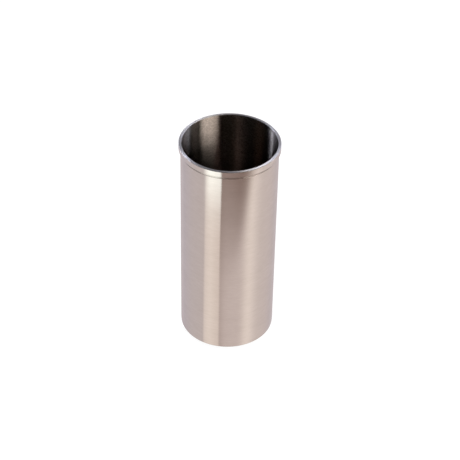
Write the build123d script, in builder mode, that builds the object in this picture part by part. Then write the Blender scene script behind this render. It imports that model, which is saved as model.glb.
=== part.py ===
"""Thin-walled dry cylinder liner with a top flange, turned and ground as one piece.

The liner stands on its lower end: the origin is at the centre of that end, +Z runs up
the bore towards the flange. All lengths are in millimetres.
"""

from build123d import *
import os

# --- driving dimensions ------------------------------------------------------------
length = 220.0  # overall, lower end to gasket face
bore_diameter = 91.5  # finished, honed bore
body_diameter = 93.7  # ground outside, presses into the block
flange_diameter = 97.2  # sits in the block's counterbore
flange_height = 6.2  # gasket face to flange seat

relief_width = 2.6  # grinding relief under the flange, along the axis
relief_depth = 0.22  # below the ground outside
relief_radius = 0.18  # root radii of the relief

flange_top_break = 0.35  # edge break, flange outside to gasket face
flange_seat_break = 0.40  # edge break, flange outside to seat
bore_top_lead = 0.30  # ring lead-in, radial
bore_top_lead_depth = 0.45  # ring lead-in, along the axis
bore_end_lead = 0.35  # lower end of the bore, radial
bore_end_lead_depth = 0.60  # lower end of the bore, along the axis
pilot_taper = 0.12  # radial drop of the pilot taper at the lower end
pilot_length = 4.0  # pilot taper, along the axis
end_break = 0.25  # edge break, lower end outside

bore_r = bore_diameter / 2
body_r = body_diameter / 2
flange_r = flange_diameter / 2
relief_r = body_r - relief_depth
pilot_r = body_r - pilot_taper
seat_z = length - flange_height

# --- the liner -----------------------------------------------------------------------
with BuildPart() as cylinder_liner:
    # Half section of the turned blank: plain bore inside, pilot taper, ground body and
    # flange outside.
    with BuildSketch(Plane.XZ) as blank_section:
        with BuildLine() as blank_outline:
            Polyline(
                (bore_r, 0),
                (pilot_r, 0),
                (body_r, pilot_length),
                (body_r, seat_z),
                (flange_r, seat_z),
                (flange_r, length),
                (bore_r, length),
                close=True,
            )
        make_face()
    revolve(axis=Axis.Z)

    # Grinding relief: a shallow groove that takes the wheel clear of the flange seat.
    with BuildSketch(Plane.XZ) as relief_section:
        with Locations((relief_r, seat_z - relief_width)):
            Rectangle(2.0, relief_width, align=(Align.MIN, Align.MIN))
        relief_roots = relief_section.vertices().group_by(Axis.X)[0]
        fillet(relief_roots, radius=relief_radius)
    revolve(axis=Axis.Z, mode=Mode.SUBTRACT)

    # Edge breaks on the circular edges, picked by height and then by radius.
    round_edges = cylinder_liner.edges().filter_by(GeomType.CIRCLE)
    top_edges = round_edges.group_by(Axis.Z)[-1].sort_by(SortBy.RADIUS)
    end_edges = round_edges.group_by(Axis.Z)[0].sort_by(SortBy.RADIUS)
    chamfer(top_edges[-1], length=flange_top_break)
    chamfer(end_edges[-1], length=end_break)

    seat_edge = (
        cylinder_liner.edges()
        .filter_by(GeomType.CIRCLE)
        .filter_by(lambda edge: abs(edge.center().Z - seat_z) < 1e-6)
        .sort_by(SortBy.RADIUS)[-1]
    )
    chamfer(seat_edge, length=flange_seat_break)

    # Bore lead-ins: a ring lead-in at the gasket face and a shorter one at the lower end.
    with BuildSketch(Plane.XZ) as bore_leads_section:
        with BuildLine() as top_lead_outline:
            Polyline(
                (bore_r, length - bore_top_lead_depth),
                (bore_r + bore_top_lead, length),
                (bore_r - 1.0, length),
                (bore_r - 1.0, length - bore_top_lead_depth),
                close=True,
            )
        make_face()
        with BuildLine() as end_lead_outline:
            Polyline(
                (bore_r, bore_end_lead_depth),
                (bore_r - 1.0, bore_end_lead_depth),
                (bore_r - 1.0, 0),
                (bore_r + bore_end_lead, 0),
                close=True,
            )
        make_face()
    revolve(axis=Axis.Z, mode=Mode.SUBTRACT)

cylinder_liner.part.label = "cylinder_liner"

# --- output ----------------------------------------------------------------------------
os.makedirs("parts", exist_ok=True)
export_step(cylinder_liner.part, "parts/cylinder_liner.step")

print("volume mm3", round(cylinder_liner.part.volume, 1))
print("size", cylinder_liner.part.bounding_box().size)
print("faces", len(cylinder_liner.part.faces()), "solids", len(cylinder_liner.part.solids()))
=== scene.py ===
"""Looks of the cylinder liner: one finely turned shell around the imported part, its studio and camera."""
import math
import bpy
from mathutils import Matrix, Vector


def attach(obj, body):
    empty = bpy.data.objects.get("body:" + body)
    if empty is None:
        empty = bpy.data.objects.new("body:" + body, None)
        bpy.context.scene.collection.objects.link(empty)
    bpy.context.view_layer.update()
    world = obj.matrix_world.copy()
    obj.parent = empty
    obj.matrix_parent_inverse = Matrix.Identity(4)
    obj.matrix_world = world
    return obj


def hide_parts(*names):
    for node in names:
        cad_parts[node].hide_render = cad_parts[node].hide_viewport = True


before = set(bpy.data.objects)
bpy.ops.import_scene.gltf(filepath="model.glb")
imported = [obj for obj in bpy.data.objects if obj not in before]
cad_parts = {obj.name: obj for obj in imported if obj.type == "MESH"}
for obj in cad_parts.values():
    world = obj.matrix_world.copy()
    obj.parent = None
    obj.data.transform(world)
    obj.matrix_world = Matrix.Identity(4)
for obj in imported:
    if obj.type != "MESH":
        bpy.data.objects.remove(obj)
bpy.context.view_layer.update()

MM = 0.001

# ------------------------------------------------------------------ dimensions of the part (mm)
LENGTH = 220.0
BORE_R, BODY_R, FLANGE_R = 45.75, 46.85, 48.60
SEAT_Z = 213.8
SEGMENTS = 512

# ------------------------------------------------------------------ node helpers
def new_tree(mat_or_world):
    mat_or_world.use_nodes = True
    nt = mat_or_world.node_tree
    nt.nodes.clear()
    return nt


def node(nt, kind, x=0, y=0, **props):
    n = nt.nodes.new(kind)
    n.location = (x, y)
    for k, v in props.items():
        setattr(n, k, v)
    return n


def link(nt, a, b):
    nt.links.new(a, b)


def math_node(nt, op, a, b=None, c=None, clamp=False):
    n = node(nt, "ShaderNodeMath", operation=op, use_clamp=clamp)
    for i, v in enumerate((a, b, c)):
        if v is None:
            continue
        if isinstance(v, (int, float)):
            n.inputs[i].default_value = v
        else:
            link(nt, v, n.inputs[i])
    return n.outputs[0]


def smooth(nt, value, lo, hi, out_lo=0.0, out_hi=1.0):
    """A soft step from out_lo at lo to out_hi at hi."""
    n = node(nt, "ShaderNodeMapRange", interpolation_type="SMOOTHSTEP")
    link(nt, value, n.inputs["Value"])
    n.inputs["From Min"].default_value = lo
    n.inputs["From Max"].default_value = hi
    n.inputs["To Min"].default_value = out_lo
    n.inputs["To Max"].default_value = out_hi
    return n.outputs["Result"]


def linear(nt, value, lo, hi, out_lo=0.0, out_hi=1.0):
    n = node(nt, "ShaderNodeMapRange", interpolation_type="LINEAR")
    link(nt, value, n.inputs["Value"])
    n.inputs["From Min"].default_value = lo
    n.inputs["From Max"].default_value = hi
    n.inputs["To Min"].default_value = out_lo
    n.inputs["To Max"].default_value = out_hi
    return n.outputs["Result"]


def mix_rgb(nt, fac, a, b, mode="MIX"):
    n = node(nt, "ShaderNodeMix", data_type="RGBA", blend_type=mode)
    for sock, v in ((n.inputs[0], fac), (n.inputs[6], a), (n.inputs[7], b)):
        if isinstance(v, (int, float)):
            sock.default_value = v
        elif isinstance(v, (tuple, list)):
            sock.default_value = (*v[:3], 1.0)
        else:
            link(nt, v, sock)
    return n.outputs[2]


def ramp(nt, value, stops, interp="LINEAR"):
    n = node(nt, "ShaderNodeValToRGB")
    cr = n.color_ramp
    cr.interpolation = interp
    while len(cr.elements) > 1:
        cr.elements.remove(cr.elements[-1])
    first = True
    for pos, col in stops:
        if first:
            e = cr.elements[0]
            e.position = pos
            first = False
        else:
            e = cr.elements.new(pos)
        e.color = (*col, 1.0)
    link(nt, value, n.inputs["Fac"])
    return n.outputs["Color"]


# ------------------------------------------------------------------ the turned section
# (radius, height, edge rounding) in mm, once round the section from the lower outer corner
SECTION = [
    (46.480, 0.000, 0.05),      # lower end face, outer corner
    (46.738, 0.250, 0.08),      # end break
    (46.850, 4.000, 40.0),      # pilot taper runs out into the ground body
    (46.850, 211.200, 0.05),    # body meets the relief groove
    (46.630, 211.200, 0.15),
    (46.630, 213.800, 0.15),
    (48.200, 213.800, 0.05),    # flange seat
    (48.600, 214.200, 0.08),
    (48.600, 219.650, 0.08),    # flange outside
    (48.250, 220.000, 0.06),
    (46.050, 220.000, 0.06),    # gasket face, inner corner
    (45.750, 219.550, 0.12),    # bore lead
    (45.750, 0.600, 0.12),
    (46.100, 0.000, 0.05),
]
# which surface each run of the section is: index of the corner that the run starts at
TURNED, GROUND, HONED, FACE, GROOVE, EDGE = 0, 1, 2, 3, 4, 5
RUN_KIND = {0: TURNED, 1: GROUND, 2: GROUND, 3: GROOVE, 4: GROOVE, 5: TURNED, 6: TURNED,
            7: TURNED, 8: EDGE, 9: FACE, 10: EDGE, 11: HONED, 12: TURNED, 13: TURNED}
RUN_RINGS = {2: 12, 7: 3, 9: 2, 11: 12}


def section_points():
    """The rounded section: points (r, z) and the kind of the run that follows each."""
    n = len(SECTION)
    out = []
    for i in range(n):
        p0 = Vector(SECTION[i - 1][:2])
        p1 = Vector(SECTION[i][:2])
        p2 = Vector(SECTION[(i + 1) % n][:2])
        rad = SECTION[i][2]
        a, b = (p0 - p1).normalized(), (p2 - p1).normalized()
        half = a.angle(b) / 2.0
        t = rad / math.tan(half)
        centre = p1 + (a + b).normalized() * (rad / math.sin(half))
        s, e = p1 + a * t, p1 + b * t
        kind_in, kind_out = RUN_KIND[(i - 1) % n], RUN_KIND[i]
        support = min(0.06, 0.25 * t + 0.02)
        out.append((s + a * support, kind_in))
        steps = 4
        v0, v1 = s - centre, e - centre
        ang = v0.angle_signed(v1)
        for k in range(steps + 1):
            q = v0.copy()
            q.rotate(Matrix.Rotation(-ang * k / steps, 2))
            out.append((centre + q, kind_in if k < steps // 2 else kind_out))
        out.append((e + b * support, kind_out))
        rings = RUN_RINGS.get(i, 0)
        nxt = SECTION[(i + 1) % n]
        for k in range(1, rings + 1):
            out.append((p1.lerp(Vector(nxt[:2]), k / (rings + 1.0)), kind_out))
    return out


def make_liner():
    prof = section_points()
    m, seg = len(prof), SEGMENTS
    lengths = [0.0]
    for i in range(m):
        lengths.append(lengths[-1] + (prof[(i + 1) % m][0] - prof[i][0]).length)
    total = lengths[-1]
    verts = []
    for (p, _) in prof:
        for j in range(seg):
            a = 2 * math.pi * j / seg
            verts.append((p[0] * MM * math.cos(a), p[0] * MM * math.sin(a), p[1] * MM))
    faces, kinds, uvs = [], [], []
    for i in range(m):
        k = (i + 1) % m
        for j in range(seg):
            l = (j + 1) % seg
            faces.append((i * seg + j, i * seg + l, k * seg + l, k * seg + j))
            kinds.append(prof[i][1])
            u0, u1 = 0.002 + 0.996 * j / seg, 0.002 + 0.996 * (j + 1) / seg
            v0, v1 = 0.002 + 0.996 * lengths[i] / total, 0.002 + 0.996 * lengths[i + 1] / total
            uvs += [(u0, v0), (u1, v0), (u1, v1), (u0, v1)]
    mesh = bpy.data.meshes.new("liner_shell")
    mesh.from_pydata(verts, [], faces)
    mesh.update()
    uv = mesh.uv_layers.new(name="OFBake")
    flat = [c for p in uvs for c in p]
    uv.data.foreach_set("uv", flat)
    mesh.polygons.foreach_set("use_smooth", [True] * len(mesh.polygons))
    mesh.polygons.foreach_set("material_index", kinds)
    ob = bpy.data.objects.new("liner_shell", mesh)
    bpy.context.scene.collection.objects.link(ob)
    return ob


# ------------------------------------------------------------------ steel
def steel(name, base_lo, base_hi, rough, aniso, ring_scale, ring_bump, hatch=0.0, fleck=0.0, cloud=0.06, painted_shade=None, crisp=False, shade_after_bounce=False, lit_stretches=(), darker_stretch=None):
    """Worked steel: colour, roughness and bump all vary with the tool's own marks, and the colour can carry painted
    shade.
    """
    mat = bpy.data.materials.new(name)
    nt = new_tree(mat)
    out = node(nt, "ShaderNodeOutputMaterial", 900, 0)
    if crisp:
        # ground or honed metal: wide along the part, tight round it, and no haze past the scratches' own spread
        bsdf = node(nt, "ShaderNodeBsdfAnisotropic", 600, 0, distribution="BECKMANN")
        bsdf.inputs["Anisotropy"].default_value = aniso
        colour_in = bsdf.inputs["Color"]
    else:
        bsdf = node(nt, "ShaderNodeBsdfPrincipled", 600, 0)
        bsdf.inputs["Metallic"].default_value = 1.0
        bsdf.inputs["Anisotropic"].default_value = aniso
        bsdf.inputs["Anisotropic Rotation"].default_value = 0.25
        colour_in = bsdf.inputs["Base Color"]
    link(nt, bsdf.outputs[0], out.inputs[0])
    tan = node(nt, "ShaderNodeTangent", 300, -400, direction_type="RADIAL", axis="Z")
    link(nt, tan.outputs[0], bsdf.inputs["Tangent"])
    tc = node(nt, "ShaderNodeTexCoord", -1400, 0)

    def stretched(sx, sz, detail=3.0, rough_n=0.6):
        mp = node(nt, "ShaderNodeMapping", -1200, 0)
        mp.inputs["Scale"].default_value = (sx, sx, sz)
        link(nt, tc.outputs["Object"], mp.inputs["Vector"])
        nz = node(nt, "ShaderNodeTexNoise", -1000, 0)
        nz.inputs["Scale"].default_value = 1.0
        nz.inputs["Detail"].default_value = detail
        nz.inputs["Roughness"].default_value = rough_n
        link(nt, mp.outputs[0], nz.inputs["Vector"])
        return nz.outputs["Fac"]

    rings = stretched(28.0, ring_scale, 4.0, 0.7)          # fine marks round the part, broken up along their length
    bands = stretched(14.0, ring_scale * 0.16, 2.0, 0.5)   # wheel-width bands
    clouds = stretched(26.0, 70.0, 3.0, 0.55)               # handling film, seen as soft clouds
    flecks = stretched(620.0, 900.0, 2.0, 0.7)              # the grain of the ground skin
    mottle = stretched(150.0, 420.0, 3.0, 0.6)              # small soft patches, wider than they are tall
    tone = math_node(nt, "MULTIPLY_ADD", rings, 0.55, math_node(nt, "MULTIPLY", clouds, 0.45))
    if fleck:
        tone = math_node(nt, "MULTIPLY_ADD", math_node(nt, "SUBTRACT", flecks, 0.5), fleck, tone)
    tone = math_node(nt, "MULTIPLY_ADD", math_node(nt, "SUBTRACT", mottle, 0.5), 0.4, tone)
    col = mix_rgb(nt, linear(nt, tone, 0.34, 0.66), base_lo, base_hi)
    if painted_shade:
        # painted shade: the colour is darkened on one side of a height, in the groove just under the flange and down in
        # the bore
        z = node(nt, "ShaderNodeSeparateXYZ", -800, 400)
        link(nt, tc.outputs["Object"], z.inputs[0])
        unshaded = smooth(nt, z.outputs["Z"], painted_shade[0], painted_shade[1], 0.0, 1.0)
        if lit_stretches:
            # painted shade is left off over these stretches, where light falls into the groove; in degrees round the
            # part from its front
            turn = math_node(nt, "MULTIPLY", math_node(nt, "ARCTAN2", z.outputs["X"], math_node(nt, "MULTIPLY", z.outputs["Y"], -1.0)), 180 / math.pi)
            for a0, a1 in lit_stretches:
                here = math_node(nt, "MULTIPLY", smooth(nt, turn, a0 - 3.0, a0 + 3.0), smooth(nt, turn, a1 - 3.0, a1 + 3.0, 1.0, 0.0))
                unshaded = math_node(nt, "MAXIMUM", unshaded, here)
        col = mix_rgb(nt, unshaded, painted_shade[2], col)
        if darker_stretch:
            # painted shade: the groove is darker still over this stretch
            here = math_node(nt, "MULTIPLY", smooth(nt, turn, darker_stretch[0] - 4.0, darker_stretch[0] + 4.0), smooth(nt, turn, darker_stretch[1] - 4.0, darker_stretch[1] + 4.0, 1.0, 0.0))
            col = mix_rgb(nt, here, col, (0.15, 0.13, 0.12))
    if shade_after_bounce:
        # painted shade: on rays that have already bounced, the steel is near black, so the bore stays darker than its
        # own reflections would make it
        path = node(nt, "ShaderNodeLightPath", 100, 400)
        first = math_node(nt, "LESS_THAN", path.outputs["Ray Depth"], 0.5)
        col = mix_rgb(nt, first, (0.06, 0.038, 0.028), col)
    link(nt, col, colour_in)
    r = math_node(nt, "MULTIPLY_ADD", math_node(nt, "SUBTRACT", bands, 0.5), cloud * 0.6, rough)
    r = math_node(nt, "MULTIPLY_ADD", math_node(nt, "SUBTRACT", clouds, 0.5), cloud, r)
    link(nt, r, bsdf.inputs["Roughness"])
    height = math_node(nt, "MULTIPLY_ADD", bands, 0.6, rings)
    if hatch:
        # honing: two sets of crossing scratches, laid out on the unrolled bore
        sep = node(nt, "ShaderNodeSeparateXYZ", -1200, -500)
        link(nt, tc.outputs["Object"], sep.inputs[0])
        ang = math_node(nt, "ARCTAN2", sep.outputs["Y"], sep.outputs["X"])
        arc = math_node(nt, "MULTIPLY", ang, BORE_R * MM)
        for s in (1.0, -1.0):
            # 24 degrees either way from the horizontal; a whole number of scratches fits round the bore
            along = math_node(nt, "MULTIPLY_ADD", arc, s * math.tan(math.radians(24)), sep.outputs["Z"])
            comb = node(nt, "ShaderNodeCombineXYZ", -800, -500)
            across = math_node(nt, "MULTIPLY_ADD", sep.outputs["Z"], -s * math.tan(math.radians(24)), arc)
            link(nt, math_node(nt, "MULTIPLY", along, 2200.0), comb.inputs["Z"])
            link(nt, math_node(nt, "MULTIPLY", across, 90.0), comb.inputs["X"])
            comb.inputs["Y"].default_value = 7.0 + s
            nz = node(nt, "ShaderNodeTexNoise", -600, -500)
            nz.inputs["Scale"].default_value = 1.0
            nz.inputs["Detail"].default_value = 2.0
            link(nt, comb.outputs[0], nz.inputs["Vector"])
            height = math_node(nt, "MULTIPLY_ADD", nz.outputs["Fac"], hatch, height)
    if fleck:
        height = math_node(nt, "MULTIPLY_ADD", flecks, 0.5, height)
    bump = node(nt, "ShaderNodeBump", 300, -200)
    bump.inputs["Strength"].default_value = 1.0
    bump.inputs["Distance"].default_value = ring_bump
    link(nt, height, bump.inputs["Height"])
    link(nt, bump.outputs[0], bsdf.inputs["Normal"])
    return mat


liner = make_liner()
for m in (
    steel("turned_steel", (0.64, 0.555, 0.515), (0.75, 0.655, 0.615), 0.185, 0.50, 5200.0, 0.5e-5, cloud=0.03, crisp=True),
    steel("ground_steel_skin", (0.667, 0.575, 0.535), (0.723, 0.625, 0.585), 0.166, 0.54, 3600.0, 0.22e-5, cloud=0.03, crisp=True),
    # painted shade in the honed bore: darkest below 120 mm, gone above 185 mm, and on rays that have already bounced
    steel("honed_steel", (0.57, 0.495, 0.44), (0.79, 0.705, 0.64), 0.36, 0.77, 1800.0, 0.15e-5, hatch=0.5, fleck=1.6, painted_shade=(0.120, 0.185, (0.10, 0.075, 0.06)), crisp=True, shade_after_bounce=True),
    steel("faced_steel", (0.56, 0.53, 0.52), (0.70, 0.66, 0.65), 0.30, 0.9, 5200.0, 0.6e-5),
    # painted shade in the groove just under the flange, left off over two lit stretches and darker still over one
    # stretch
    steel("groove_steel", (0.56, 0.49, 0.45), (0.70, 0.62, 0.57), 0.33, 0.4, 5200.0, 0.4e-5, painted_shade=(0.2120, 0.2114, (0.40, 0.34, 0.31)), crisp=True, lit_stretches=((-36.0, -11.0), (17.0, 38.0)), darker_stretch=(-76.0, -54.0)),
    steel("edge_steel", (0.40, 0.37, 0.36), (0.52, 0.48, 0.46), 0.44, 0.5, 5200.0, 0.6e-5),
):
    liner.data.materials.append(m)
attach(liner, "root")
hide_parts("cylinder_liner")

# ------------------------------------------------------------------ studio
scene = bpy.context.scene
scene.view_settings.view_transform = "Standard"
scene.view_settings.look = "None"
scene.view_settings.exposure = 0.0
scene.view_settings.gamma = 1.0


def disc(name, r0, r1, z, rings=24, seg=128):
    verts, faces = [], []
    for i in range(rings + 1):
        r = r0 + (r1 - r0) * (i / rings) ** 2
        for j in range(seg):
            a = 2 * math.pi * j / seg
            verts.append((r * math.cos(a), r * math.sin(a), z))
    for i in range(rings):
        for j in range(seg):
            k = (j + 1) % seg
            faces.append((i * seg + j, (i + 1) * seg + j, (i + 1) * seg + k, i * seg + k))
    me = bpy.data.meshes.new(name)
    me.from_pydata(verts, [], faces)
    me.update()
    ob = bpy.data.objects.new(name, me)
    scene.collection.objects.link(ob)
    return ob


# the floor: plain, pale and evenly lit
floor = disc("floor", 0.0, 6.0, -0.00005)
fm = bpy.data.materials.new("floor_white")
nt = new_tree(fm)
fo = node(nt, "ShaderNodeOutputMaterial")
add = node(nt, "ShaderNodeAddShader")
dif = node(nt, "ShaderNodeBsdfDiffuse")
dif.inputs["Color"].default_value = (0.30, 0.30, 0.30, 1)
emi = node(nt, "ShaderNodeEmission")
tc = node(nt, "ShaderNodeTexCoord")
sep = node(nt, "ShaderNodeSeparateXYZ")
link(nt, tc.outputs["Object"], sep.inputs[0])
rad = math_node(nt, "SQRT", math_node(nt, "ADD", math_node(nt, "MULTIPLY", sep.outputs["X"], sep.outputs["X"]),
                                       math_node(nt, "MULTIPLY", sep.outputs["Y"], sep.outputs["Y"])))
emi.inputs["Color"].default_value = (1, 1, 1, 1)
link(nt, smooth(nt, rad, 0.0462, 0.0468, 0.0, 0.80), emi.inputs["Strength"])
link(nt, dif.outputs[0], add.inputs[0])
link(nt, emi.outputs[0], add.inputs[1])
link(nt, add.outputs[0], fo.inputs[0])
floor.data.materials.append(fm)
floor.visible_glossy = False

# inside the bore the steel sees the shaded floor
well = disc("floor_in_bore", 0.0, 0.0461, -0.00002, rings=6, seg=64)
wm = bpy.data.materials.new("floor_in_bore")
nt = new_tree(wm)
wo_ = node(nt, "ShaderNodeOutputMaterial")
wd = node(nt, "ShaderNodeBsdfDiffuse")
wd.inputs["Color"].default_value = (0.30, 0.30, 0.30, 1)
link(nt, wd.outputs[0], wo_.inputs[0])
well.data.materials.append(wm)
well.visible_camera = False
well.visible_diffuse = False
well.visible_shadow = False

# in front, past a straight edge, the room beyond the table is dark: only the steel sees it
flag = disc("front_flag", 0.0, 3.0, -0.00003, rings=30, seg=120)
gm = bpy.data.materials.new("front_flag")
nt = new_tree(gm)
go = node(nt, "ShaderNodeOutputMaterial")
ge = node(nt, "ShaderNodeEmission")
ge.inputs["Color"].default_value = (0.17, 0.10, 0.075, 1)
gt = node(nt, "ShaderNodeBsdfTransparent")
gx = node(nt, "ShaderNodeMixShader")
tc = node(nt, "ShaderNodeTexCoord")
sep = node(nt, "ShaderNodeSeparateXYZ")
link(nt, tc.outputs["Object"], sep.inputs[0])
rad = math_node(nt, "SQRT", math_node(nt, "ADD", math_node(nt, "MULTIPLY", sep.outputs["X"], sep.outputs["X"]),
                                       math_node(nt, "MULTIPLY", sep.outputs["Y"], sep.outputs["Y"])))
neg_y = math_node(nt, "MULTIPLY", sep.outputs["Y"], -1.0)
az = math_node(nt, "MULTIPLY", math_node(nt, "ARCTAN2", sep.outputs["X"], neg_y), 180 / math.pi)
# it gets darker with distance, past a gently bowed edge that runs at a slant
dark = math_node(nt, "SUBTRACT", 1.0, math_node(nt, "EXPONENT", math_node(nt, "DIVIDE", math_node(nt, "SUBTRACT", rad, 0.148), -0.166)), clamp=True)
bow = math_node(nt, "MULTIPLY", sep.outputs["X"], math_node(nt, "MULTIPLY_ADD", sep.outputs["X"], -0.83, 0.47))
past = math_node(nt, "SUBTRACT", neg_y, math_node(nt, "ADD", bow, 0.158))
dark = math_node(nt, "MULTIPLY", dark, smooth(nt, past, -0.022, 0.022))
dark = math_node(nt, "MULTIPLY", dark, linear(nt, az, -16.0, 22.0, 0.80, 1.11))
left = math_node(nt, "SUBTRACT", az, linear(nt, rad, 0.20, 0.32, -17.9, -16.2))
dark = math_node(nt, "MULTIPLY", dark, smooth(nt, left, -0.5, 0.8))
link(nt, dark, gx.inputs[0])
link(nt, gt.outputs[0], gx.inputs[1])
link(nt, ge.outputs[0], gx.inputs[2])
link(nt, gx.outputs[0], go.inputs[0])
flag.data.materials.append(gm)
flag.visible_camera = False
flag.visible_diffuse = False
flag.visible_transmission = False
flag.visible_shadow = False

# to the left of it a lamp stands low, and its light is strongest far out
glow = disc("left_glow", 0.2, 1.2, -0.00002, rings=30, seg=180)
lm = bpy.data.materials.new("left_glow")
nt = new_tree(lm)
lo_ = node(nt, "ShaderNodeOutputMaterial")
le = node(nt, "ShaderNodeEmission")
le.name = "glow"
le.inputs["Color"].default_value = (0.70, 0.98, 1.0, 1)
lt = node(nt, "ShaderNodeBsdfTransparent")
la = node(nt, "ShaderNodeAddShader")
tc = node(nt, "ShaderNodeTexCoord")
sep = node(nt, "ShaderNodeSeparateXYZ")
link(nt, tc.outputs["Object"], sep.inputs[0])
rad = math_node(nt, "SQRT", math_node(nt, "ADD", math_node(nt, "MULTIPLY", sep.outputs["X"], sep.outputs["X"]),
                                       math_node(nt, "MULTIPLY", sep.outputs["Y"], sep.outputs["Y"])))
neg_y = math_node(nt, "MULTIPLY", sep.outputs["Y"], -1.0)
az = math_node(nt, "MULTIPLY", math_node(nt, "ARCTAN2", sep.outputs["X"], neg_y), 180 / math.pi)
amount = smooth(nt, rad, 0.248, 0.372, 0.0, 0.92)
left = math_node(nt, "SUBTRACT", az, linear(nt, rad, 0.20, 0.32, -17.9, -16.2))
amount = math_node(nt, "MULTIPLY", amount, smooth(nt, left, -0.5, 0.5, 1.0, 0.0))
amount = math_node(nt, "MULTIPLY", amount, smooth(nt, az, -59.5, -41.0))
link(nt, amount, le.inputs["Strength"])
link(nt, lt.outputs[0], la.inputs[0])
link(nt, le.outputs[0], la.inputs[1])
link(nt, la.outputs[0], lo_.inputs[0])
glow.data.materials.append(lm)
glow.visible_camera = False
glow.visible_diffuse = False
glow.visible_transmission = False
glow.visible_shadow = False

# the room: even light for the floor, softboxes and screens for the steel
world = bpy.data.worlds.new("studio")
scene.world = world
nt = new_tree(world)
wo = node(nt, "ShaderNodeOutputWorld")
bg_even = node(nt, "ShaderNodeBackground")
bg_even.name = "even"
bg_even.inputs["Color"].default_value = (1, 1, 1, 1)
bg_even.inputs["Strength"].default_value = 1.0
bg_room = node(nt, "ShaderNodeBackground")
tc = node(nt, "ShaderNodeTexCoord")
sep = node(nt, "ShaderNodeSeparateXYZ")
link(nt, tc.outputs["Generated"], sep.inputs[0])
neg_y = math_node(nt, "MULTIPLY", sep.outputs["Y"], -1.0)
az = math_node(nt, "MULTIPLY", math_node(nt, "ARCTAN2", sep.outputs["X"], neg_y), 180 / math.pi)
elv = math_node(nt, "MULTIPLY", math_node(nt, "ARCSINE", sep.outputs["Z"]), 180 / math.pi)
# degrees round the part from the camera's side, to the right: light at that azimuth, by height
TABLE = [(-180, (0.78, 0.80, 0.88)), (-156, (0.74, 0.75, 0.82)), (-138, (0.66, 0.665, 0.735)), (-116, (0.67, 0.665, 0.71)), (-100, (0.68, 0.67, 0.69)),
         (-63, (0.69, 0.67, 0.67)), (-60.8, (0.92, 0.89, 0.85)), (-50, (1.00, 0.97, 0.91)), (-44, (1.01, 0.98, 0.92)), (-30, (0.94, 0.90, 0.84)),
         (-20.2, (0.885, 0.835, 0.785)), (-18.8, (0.61, 0.56, 0.535)), (-6, (0.72, 0.67, 0.65)), (4, (0.745, 0.70, 0.68)), (26, (0.755, 0.71, 0.69)),
         (35, (0.82, 0.78, 0.75)), (46, (0.98, 0.95, 0.90)), (56, (1.01, 0.98, 0.93)), (66, (0.90, 0.87, 0.84)), (80, (0.79, 0.76, 0.74)),
         (110, (0.76, 0.73, 0.73)), (136, (0.71, 0.70, 0.74)), (156, (0.78, 0.79, 0.86)), (180, (0.78, 0.80, 0.88))]
FRONT = [(-180, (0.02, 0.02, 0.02)), (-19, (0.02, 0.02, 0.02)), (-18, (0.14, 0.11, 0.09)), (-16.4, (0.14, 0.11, 0.09)), (-15.4, (0.02, 0.02, 0.02)),
         (-6, (0.03, 0.025, 0.02)), (20, (0.03, 0.025, 0.02)), (30, (0.02, 0.02, 0.02)), (66, (0.03, 0.03, 0.03)), (76, (0.46, 0.42, 0.39)),
         (98, (0.42, 0.40, 0.38)), (108, (0.02, 0.02, 0.02)), (180, (0.02, 0.02, 0.02))]
BACK = [(-180, (0.09, 0.091, 0.10)), (-172, (0.10, 0.101, 0.111)), (-158, (0.24, 0.25, 0.29)), (-146, (0.26, 0.275, 0.32)), (-128, (0.32, 0.34, 0.40)),
        (-104, (0.30, 0.32, 0.37)), (-90, (0.4, 0.41, 0.45)), (0, (0, 0, 0)), (90, (0.75, 0.77, 0.84)), (104, (0.85, 0.91, 1.05)),
        (128, (1.0, 1.07, 1.28)), (147, (1.35, 1.45, 1.73)), (156, (0.22, 0.23, 0.27)), (168, (0.08, 0.081, 0.089)), (180, (0.09, 0.091, 0.10))]



# the edges of what lies on the table lean a little to the right with height, all but the strip's own right edge
lean = math_node(nt, "MULTIPLY", math_node(nt, "MULTIPLY_ADD", math_node(nt, "ADD", elv, 41.3), 0.8, 1.2), smooth(nt, elv, -30.0, -26.0, 1.0, 0.0))
lean = math_node(nt, "MULTIPLY", math_node(nt, "MAXIMUM", lean, 0.0), smooth(nt, math_node(nt, "ABSOLUTE", math_node(nt, "ADD", az, 19.5)), 5.0, 25.0))
az_table = math_node(nt, "SUBTRACT", az, lean)


def round_table(name, stops):
    n = ramp(nt, linear(nt, az_table if name == "table" else az, -180, 180), [((a + 180) / 360.0, c) for a, c in stops])
    n.node.name = name
    return n


table = round_table("table", TABLE)
front = round_table("front", FRONT)
back = round_table("back", BACK)
# the white sweep behind stands higher the further round it goes
far = math_node(nt, "ABSOLUTE", az)
top = math_node(nt, "SUBTRACT", linear(nt, far, 90.0, 134.0, 2.0, 64.0), elv)
front = mix_rgb(nt, smooth(nt, elv, 30.0, 52.0), front, (0.015, 0.015, 0.016))
brighter = node(nt, "ShaderNodeVectorMath", operation="SCALE")
link(nt, back, brighter.inputs[0])
right_side = math_node(nt, "MULTIPLY", smooth(nt, az, 96.0, 112.0), math_node(nt, "ADD", linear(nt, elv, 8.0, 38.0, 0.3, 1.0), linear(nt, elv, 38.0, 60.0, 0.0, 3.0)))
link(nt, math_node(nt, "ADD", linear(nt, elv, 8.0, 48.0, 0.6, 3.0), right_side), brighter.inputs["Scale"])
back = brighter.outputs[0]
sky = mix_rgb(nt, math_node(nt, "MULTIPLY", smooth(nt, top, -5.0, 6.0), smooth(nt, far, 88.0, 92.0)), front, back)
room = mix_rgb(nt, smooth(nt, elv, -6.0, 4.0), table, sky)
link(nt, room, bg_room.inputs["Color"])
lp = node(nt, "ShaderNodeLightPath")
mixw = node(nt, "ShaderNodeMixShader")
link(nt, lp.outputs["Is Glossy Ray"], mixw.inputs[0])
link(nt, bg_even.outputs[0], mixw.inputs[1])
link(nt, bg_room.outputs[0], mixw.inputs[2])
link(nt, mixw.outputs[0], wo.inputs[0])
world.cycles.sampling_method = "NONE"

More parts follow.
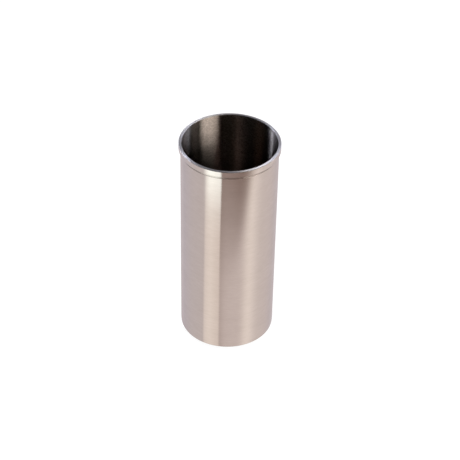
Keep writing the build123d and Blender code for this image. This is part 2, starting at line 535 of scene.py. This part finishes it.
def card(name, az_mid, el_mid, span_az, span_el, light, colour, dist=1.5):
    """A glowing card facing the liner. light(nt, az, el) gives its brightness by direction, in degrees."""
    a, e = math.radians(az_mid), math.radians(el_mid)
    d = Vector((math.sin(a) * math.cos(e), -math.cos(a) * math.cos(e), math.sin(e)))
    w = dist * math.cos(e) * math.tan(math.radians(span_az / 2))
    h = dist * math.tan(math.radians(span_el / 2))
    me = bpy.data.meshes.new(name)
    me.from_pydata([(-w, -h, 0), (w, -h, 0), (w, h, 0), (-w, h, 0)], [], [(0, 1, 2, 3)])
    me.update()
    ob = bpy.data.objects.new(name, me)
    scene.collection.objects.link(ob)
    ob.location = Vector((0, 0, LENGTH * MM)) + d * dist
    ob.rotation_mode = "QUATERNION"
    ob.rotation_quaternion = d.to_track_quat("Z", "Y")
    mat = bpy.data.materials.new(name)
    nt = new_tree(mat)
    out = node(nt, "ShaderNodeOutputMaterial")
    em = node(nt, "ShaderNodeEmission")
    em.inputs["Color"].default_value = (*colour, 1)
    tc = node(nt, "ShaderNodeTexCoord")
    sep = node(nt, "ShaderNodeSeparateXYZ")
    link(nt, tc.outputs["Object"], sep.inputs[0])
    az = linear(nt, sep.outputs["X"], -w, w, az_mid - span_az / 2, az_mid + span_az / 2)
    el = linear(nt, sep.outputs["Y"], -h, h, el_mid - span_el / 2, el_mid + span_el / 2)
    link(nt, light(nt, az, el), em.inputs["Strength"])
    link(nt, em.outputs[0], out.inputs[0])
    me.materials.append(mat)
    ob.visible_camera = False
    ob.visible_diffuse = False
    ob.visible_transmission = False
    ob.visible_shadow = False
    return ob


def times(nt, *factors):
    v = factors[0]
    for f in factors[1:]:
        v = math_node(nt, "MULTIPLY", v, f)
    return v


def softbox(nt, az, el):
    # its upper edge comes down towards its inner end
    high = math_node(nt, "MULTIPLY_ADD", math_node(nt, "MAXIMUM", math_node(nt, "SUBTRACT", 46.0, az), 0.0), 1.0, el)
    return times(nt, 6.4, smooth(nt, az, 23.0, 25.0), linear(nt, az, 25.0, 42.0, 0.42, 1.0), smooth(nt, el, 4.0, 18.0, 0.35, 1.0),
                 smooth(nt, az, 58.0, 81.0, 1.0, 0.0), smooth(nt, el, 13.0, 34.0, 1.0, 0.16), smooth(nt, high, 35.0, 48.0, 1.0, 0.0))


# the main softbox, low on the right of the camera, brightest along its lower half
card("softbox_right", 51.0, 27.0, 60.0, 42.0, softbox, (1.0, 0.93, 0.87))
# a tall strip light behind on the left, cut off along a slope
card("strip_back_left", -126.0, 34.0, 48.0, 50.0,
     lambda nt, az, el: times(nt, 34.0, smooth(nt, az, -146.0, -126.0, 0.0, 1.0), smooth(nt, az, -122.5, -106.0, 1.0, 0.0), smooth(nt, el, 43.0, 50.0, 1.0, 0.0),
                              smooth(nt, math_node(nt, "ADD", el, math_node(nt, "MULTIPLY", az, 1.2)), -103.5, -95.5, 1.0, 0.0),
                              smooth(nt, math_node(nt, "ADD", el, math_node(nt, "MULTIPLY", az, 1.2)), -121.0, -108.0, 0.05, 1.0)),
     (0.76, 0.82, 1.0))
# a small screen high behind on the right, for the top face
card("screen_high", 163.0, 56.0, 22.0, 20.0,
     lambda nt, az, el: times(nt, 4.2, smooth(nt, az, 152.0, 157.0), smooth(nt, az, 169.0, 173.0, 1.0, 0.0)),
     (0.96, 0.98, 1.0))

# ------------------------------------------------------------------ camera
R = BODY_R * MM
DIST, EL, YAW, PITCH, ROLL, FOCAL = 30.061 * R, math.radians(35.363), math.radians(0.0840), math.radians(38.733), math.radians(1.151), 1492.3
fw = Vector((math.sin(YAW) * math.cos(PITCH), math.cos(YAW) * math.cos(PITCH), -math.sin(PITCH)))
rt = Vector((math.cos(YAW), -math.sin(YAW), 0.0))
up = rt.cross(fw)
r2 = rt * math.cos(ROLL) + up * math.sin(ROLL)
u2 = up * math.cos(ROLL) - rt * math.sin(ROLL)
cam_data = bpy.data.cameras.new("camera")
cam = bpy.data.objects.new("camera", cam_data)
scene.collection.objects.link(cam)
rot = Matrix((r2, u2, -fw)).transposed()
cam.matrix_world = Matrix.Translation(Vector((0.0, -DIST * math.cos(EL), LENGTH * MM + DIST * math.sin(EL)))) @ rot.to_4x4()
cam_data.sensor_fit = "HORIZONTAL"
cam_data.sensor_width = 36.0
cam_data.lens = FOCAL / 460.0 * 36.0
cam_data.clip_start = 0.05
cam_data.clip_end = 50.0
scene.camera = cam

bpy.context.view_layer.update()
